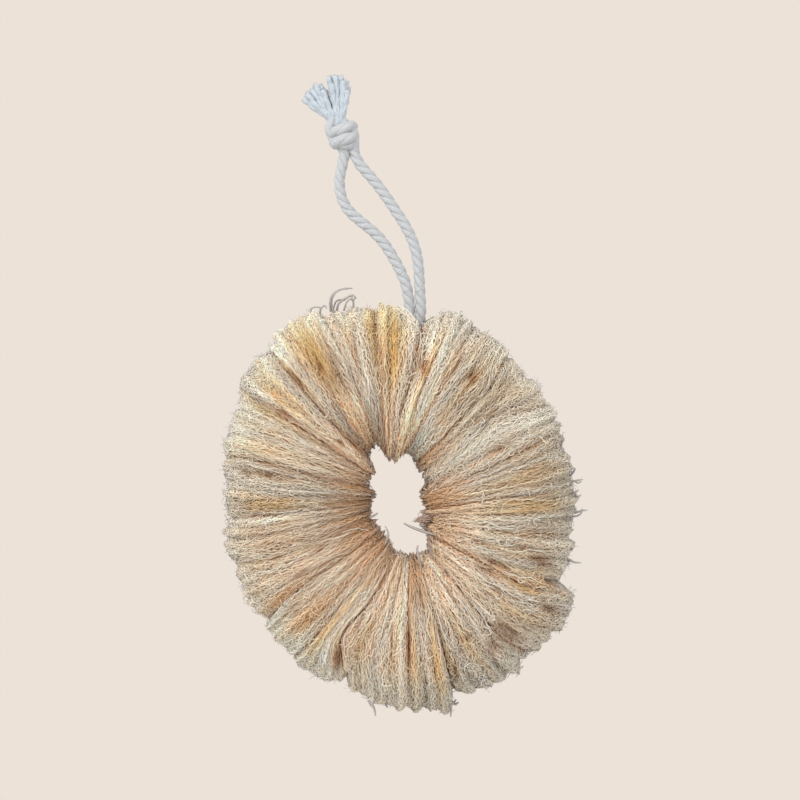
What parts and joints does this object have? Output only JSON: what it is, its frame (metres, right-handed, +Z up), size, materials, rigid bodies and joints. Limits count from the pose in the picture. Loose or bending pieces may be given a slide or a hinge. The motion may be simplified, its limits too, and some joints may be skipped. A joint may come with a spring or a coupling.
{
  "type": "loofah ring body scrubber",
  "caption": "Ring of dried loofah slices threaded on a twisted cotton cord whose ends form a knotted hanging loop with frayed tassels; dry body scrubbing.",
  "frame": {"origin": "hook seat: the middle of the small flat under the knot, at the top of the hanging loop, where a hook bears", "axes": "+Z up as the brush hangs, -Y towards the viewer of the ring's face, +X to the viewer's right; the ring's middle plane is y = 0"},
  "size_m": [0.1586, 0.0534, 0.2798],
  "materials": {
    "loofah": "coarse dried plant fibre, matte",
    "cotton_cord": "undyed twisted cotton, matte"
  },
  "bodies": {
    "loop_top": {"knot": "cotton_cord", "cord_leg_left_upper": "cotton_cord", "cord_leg_right_upper": "cotton_cord"},
    "tassel_left": {"tassel_left": "cotton_cord"},
    "tassel_right": {"tassel_right": "cotton_cord"},
    "loop_lower": {"cord_leg_left_lower": "cotton_cord", "cord_leg_right_lower": "cotton_cord"},
    "neck_upper": {"cord_neck_left_upper": "cotton_cord", "cord_neck_right_upper": "cotton_cord"},
    "neck_lower": {"cord_neck_left_lower": "cotton_cord", "cord_neck_right_lower": "cotton_cord"},
    "ring_core": {"cord_in_ring": "cotton_cord"},
    "slice_01": {"loofah_slice_01": "loofah"},
    "slice_02": {"loofah_slice_02": "loofah"},
    "slice_03": {"loofah_slice_03": "loofah"},
    "slice_04": {"loofah_slice_04": "loofah"},
    "slice_05": {"loofah_slice_05": "loofah"},
    "slice_06": {"loofah_slice_06": "loofah"},
    "slice_07": {"loofah_slice_07": "loofah"},
    "slice_08": {"loofah_slice_08": "loofah"},
    "slice_09": {"loofah_slice_09": "loofah"},
    "slice_10": {"loofah_slice_10": "loofah"},
    "slice_11": {"loofah_slice_11": "loofah"},
    "slice_12": {"loofah_slice_12": "loofah"},
    "slice_13": {"loofah_slice_13": "loofah"},
    "slice_14": {"loofah_slice_14": "loofah"},
    "slice_15": {"loofah_slice_15": "loofah"},
    "slice_16": {"loofah_slice_16": "loofah"},
    "slice_17": {"loofah_slice_17": "loofah"},
    "slice_18": {"loofah_slice_18": "loofah"},
    "slice_19": {"loofah_slice_19": "loofah"},
    "slice_20": {"loofah_slice_20": "loofah"},
    "slice_21": {"loofah_slice_21": "loofah"},
    "slice_22": {"loofah_slice_22": "loofah"}
  },
  "joints": [
    {"name": "tassel_left_splay", "type": "hinge", "parent": "loop_top", "child": "tassel_left", "pos_m": [-0.0087, 0, 0.0194], "axis": [0, 1, 0], "range_deg": [-18, 10], "stiffness_Nm_per_rad": 0.002},
    {"name": "tassel_right_splay", "type": "hinge", "parent": "loop_top", "child": "tassel_right", "pos_m": [-0.0043, 0, 0.0194], "axis": [0, 1, 0], "range_deg": [-6, 20], "stiffness_Nm_per_rad": 0.002},
    {"name": "loop_bend", "type": "hinge", "parent": "loop_top", "child": "loop_lower", "pos_m": [0.0072, 0, -0.02], "axis": [1, 0, 0], "range_deg": [-40, 40], "stiffness_Nm_per_rad": 0.01},
    {"name": "ring_twist", "type": "hinge", "parent": "loop_lower", "child": "neck_upper", "pos_m": [0.0258, 0, -0.045], "axis": [0, 0, 1], "range_deg": [-60, 60], "stiffness_Nm_per_rad": 0.004},
    {"name": "ring_sway", "type": "hinge", "parent": "neck_upper", "child": "neck_lower", "pos_m": [0.0271, 0, -0.0534], "axis": [0, 1, 0], "range_deg": [-25, 25], "stiffness_Nm_per_rad": 0.02},
    {"name": "ring_swing", "type": "hinge", "parent": "neck_lower", "child": "ring_core", "pos_m": [0.02805, 0, -0.0612], "axis": [1, 0, 0], "range_deg": [-60, 60], "stiffness_Nm_per_rad": 0.01},
    {"name": "slice_01_turn", "type": "hinge", "parent": "ring_core", "child": "slice_01", "pos_m": [0.01993, 0, -0.09722], "axis": [-0.9838, 0, 0.1794], "range_deg": [-5, 5], "stiffness_Nm_per_rad": 0.05},
    {"name": "slice_02_turn", "type": "hinge", "parent": "ring_core", "child": "slice_02", "pos_m": [0.00834, 0, -0.09677], "axis": [-0.993, 0, -0.1179], "range_deg": [-5, 5], "stiffness_Nm_per_rad": 0.05},
    {"name": "slice_03_turn", "type": "hinge", "parent": "ring_core", "child": "slice_03", "pos_m": [-0.00302, 0, -0.10039], "axis": [-0.875, 0, -0.4841], "range_deg": [-5, 5], "stiffness_Nm_per_rad": 0.05},
    {"name": "slice_04_turn", "type": "hinge", "parent": "ring_core", "child": "slice_04", "pos_m": [-0.01156, 0, -0.10719], "axis": [-0.6784, 0, -0.7347], "range_deg": [-5, 5], "stiffness_Nm_per_rad": 0.05},
    {"name": "slice_05_turn", "type": "hinge", "parent": "ring_core", "child": "slice_05", "pos_m": [-0.01732, 0, -0.11507], "axis": [-0.502, 0, -0.8649], "range_deg": [-5, 5], "stiffness_Nm_per_rad": 0.05},
    {"name": "slice_06_turn", "type": "hinge", "parent": "ring_core", "child": "slice_06", "pos_m": [-0.023, 0, -0.12928], "axis": [-0.2381, 0, -0.9712], "range_deg": [-5, 5], "stiffness_Nm_per_rad": 0.05},
    {"name": "slice_07_turn", "type": "hinge", "parent": "ring_core", "child": "slice_07", "pos_m": [-0.02459, 0, -0.14674], "axis": [0.0528, 0, -0.9986], "range_deg": [-5, 5], "stiffness_Nm_per_rad": 0.05},
    {"name": "slice_08_turn", "type": "hinge", "parent": "ring_core", "child": "slice_08", "pos_m": [-0.02239, 0, -0.16055], "axis": [0.2561, 0, -0.9666], "range_deg": [-5, 5], "stiffness_Nm_per_rad": 0.05},
    {"name": "slice_09_turn", "type": "hinge", "parent": "ring_core", "child": "slice_09", "pos_m": [-0.01769, 0, -0.17333], "axis": [0.4311, 0, -0.9023], "range_deg": [-5, 5], "stiffness_Nm_per_rad": 0.05},
    {"name": "slice_10_turn", "type": "hinge", "parent": "ring_core", "child": "slice_10", "pos_m": [-0.01047, 0, -0.18521], "axis": [0.605, 0, -0.7962], "range_deg": [-5, 5], "stiffness_Nm_per_rad": 0.05},
    {"name": "slice_11_turn", "type": "hinge", "parent": "ring_core", "child": "slice_11", "pos_m": [-0.00157, 0, -0.19467], "axis": [0.7604, 0, -0.6494], "range_deg": [-5, 5], "stiffness_Nm_per_rad": 0.05},
    {"name": "slice_12_turn", "type": "hinge", "parent": "ring_core", "child": "slice_12", "pos_m": [0.01317, 0, -0.20377], "axis": [0.9234, 0, -0.384], "range_deg": [-5, 5], "stiffness_Nm_per_rad": 0.05},
    {"name": "slice_13_turn", "type": "hinge", "parent": "ring_core", "child": "slice_13", "pos_m": [0.03113, 0, -0.20747], "axis": [0.9999, 0, 0.0121], "range_deg": [-5, 5], "stiffness_Nm_per_rad": 0.05},
    {"name": "slice_14_turn", "type": "hinge", "parent": "ring_core", "child": "slice_14", "pos_m": [0.04835, 0, -0.20231], "axis": [0.8336, 0, 0.5524], "range_deg": [-5, 5], "stiffness_Nm_per_rad": 0.05},
    {"name": "slice_15_turn", "type": "hinge", "parent": "ring_core", "child": "slice_15", "pos_m": [0.06231, 0, -0.18556], "axis": [0.4357, 0, 0.9001], "range_deg": [-5, 5], "stiffness_Nm_per_rad": 0.05},
    {"name": "slice_16_turn", "type": "hinge", "parent": "ring_core", "child": "slice_16", "pos_m": [0.0675, 0, -0.16736], "axis": [0.1114, 0, 0.9938], "range_deg": [-5, 5], "stiffness_Nm_per_rad": 0.05},
    {"name": "slice_17_turn", "type": "hinge", "parent": "ring_core", "child": "slice_17", "pos_m": [0.06735, 0, -0.1524], "axis": [-0.1272, 0, 0.9919], "range_deg": [-5, 5], "stiffness_Nm_per_rad": 0.05},
    {"name": "slice_18_turn", "type": "hinge", "parent": "ring_core", "child": "slice_18", "pos_m": [0.06449, 0, -0.1397], "axis": [-0.3077, 0, 0.9515], "range_deg": [-5, 5], "stiffness_Nm_per_rad": 0.05},
    {"name": "slice_19_turn", "type": "hinge", "parent": "ring_core", "child": "slice_19", "pos_m": [0.06002, 0, -0.12892], "axis": [-0.4556, 0, 0.8902], "range_deg": [-5, 5], "stiffness_Nm_per_rad": 0.05},
    {"name": "slice_20_turn", "type": "hinge", "parent": "ring_core", "child": "slice_20", "pos_m": [0.05416, 0, -0.11944], "axis": [-0.5949, 0, 0.8038], "range_deg": [-5, 5], "stiffness_Nm_per_rad": 0.05},
    {"name": "slice_21_turn", "type": "hinge", "parent": "ring_core", "child": "slice_21", "pos_m": [0.04607, 0, -0.11047], "axis": [-0.7409, 0, 0.6716], "range_deg": [-5, 5], "stiffness_Nm_per_rad": 0.05},
    {"name": "slice_22_turn", "type": "hinge", "parent": "ring_core", "child": "slice_22", "pos_m": [0.03384, 0, -0.10199], "axis": [-0.8906, 0, 0.4549], "range_deg": [-5, 5], "stiffness_Nm_per_rad": 0.05}
  ]
}
